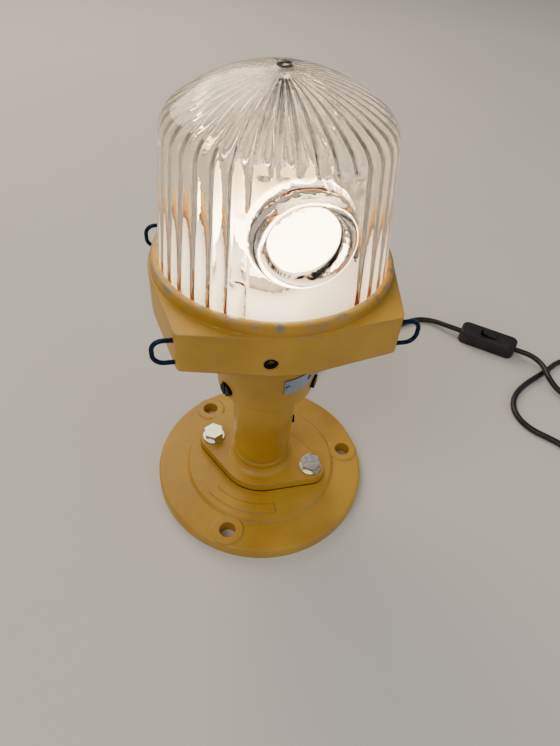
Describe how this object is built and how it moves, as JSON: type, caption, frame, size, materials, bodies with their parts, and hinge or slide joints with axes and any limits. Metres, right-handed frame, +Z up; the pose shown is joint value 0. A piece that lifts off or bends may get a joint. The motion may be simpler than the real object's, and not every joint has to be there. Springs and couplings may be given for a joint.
{
  "type": "elevated airfield edge light",
  "caption": "Cast post lamp with a round bolted base, a two-bolt stem, a swivelling head, a fluted clear glass dome locked by pull-out wire clips, and a lead with an inline switch.",
  "frame": {"origin": "centre of the base plate's underside, on the surface the light stands on", "axes": "+Z up along the stem and dome axis; -Y towards the front window of the glass; X along the wire clips' legs"},
  "size_m": [0.5207, 0.3537, 0.356],
  "materials": {
    "yellow_paint": "cast, with worn satin yellow enamel on it",
    "black_rubber": "matt black rubber",
    "orange_rubber": "orange-red silicone rubber",
    "zinc_steel": "bright zinc-plated steel",
    "dark_steel": "black oxide steel",
    "plate_aluminium": "satin aluminium, blank",
    "plain_aluminium": "turned aluminium",
    "white_enamel": "gloss white enamel",
    "holder_ceramic": "glazed ceramic",
    "cap_nickel": "nickel-plated brass",
    "lit_bulb": "frosted glass, lit",
    "clear_glass": "clear pressed glass",
    "blued_wire": "blued spring steel",
    "black_cord": "matt black sheath",
    "black_plastic": "fine-textured black plastic",
    "pin_brass": "bright brass"
  },
  "bodies": {
    "base": {"base_plate": "yellow_paint", "flange_gasket": "black_rubber", "stem": "yellow_paint", "stem_screw": "dark_steel", "flange_washers": "zinc_steel", "flange_bolts": "zinc_steel", "cord_bush": "black_rubber", "lamp_lead": "black_cord", "cord_to_switch": "black_cord", "switch_base": "black_plastic", "switch_cover": "black_plastic", "cord_from_switch": "black_cord", "cord_coil": "black_cord", "cord_to_plug": "black_cord", "plug_body": "black_plastic", "plug_pins": "pin_brass"},
    "head": {"head_housing": "yellow_paint", "collar_screws": "dark_steel", "nameplate": "plate_aluminium", "nameplate_rivets": "plate_aluminium", "bowl_gasket": "black_rubber", "lamp_bracket": "zinc_steel", "bracket_screws": "zinc_steel", "reflector": "white_enamel", "reflector_pillars": "zinc_steel", "lampholder": "holder_ceramic", "bulb_cap": "cap_nickel", "bulb_glass": "lit_bulb"},
    "dome": {"glass_frame": "yellow_paint", "lock_screw": "dark_steel", "retainer_ring": "plain_aluminium", "foot_gasket": "orange_rubber", "glass_gasket": "orange_rubber", "glass_dome": "clear_glass"},
    "clip_fl": {"clip_front_left": "blued_wire"},
    "clip_fr": {"clip_front_right": "blued_wire"},
    "clip_rl": {"clip_rear_left": "blued_wire"},
    "clip_rr": {"clip_rear_right": "blued_wire"},
    "rocker": {"switch_rocker": "black_plastic"}
  },
  "joints": [
    {"name": "head_swivel", "type": "hinge", "parent": "base", "child": "head", "pos_m": [0, 0, 0.143], "axis": [0, 0, 1], "range_deg": [-180, 180]},
    {"name": "dome_lift", "type": "slide", "parent": "head", "child": "dome", "axis": [0, 0, 1], "range_m": [0, 0.11]},
    {"name": "clip_pull_fl", "type": "slide", "parent": "dome", "child": "clip_fl", "axis": [-1, 0, 0], "range_m": [0, 0.01]},
    {"name": "clip_pull_fr", "type": "slide", "parent": "dome", "child": "clip_fr", "axis": [1, 0, 0], "range_m": [0, 0.01]},
    {"name": "clip_pull_rl", "type": "slide", "parent": "dome", "child": "clip_rl", "axis": [-1, 0, 0], "range_m": [0, 0.01]},
    {"name": "clip_pull_rr", "type": "slide", "parent": "dome", "child": "clip_rr", "axis": [1, 0, 0], "range_m": [0, 0.01]},
    {"name": "switch_rock", "type": "hinge", "parent": "base", "child": "rocker", "pos_m": [0.3045, 0.139, 0.015], "axis": [0.628, 0.7782, 0], "range_deg": [-16, 0]}
  ]
}
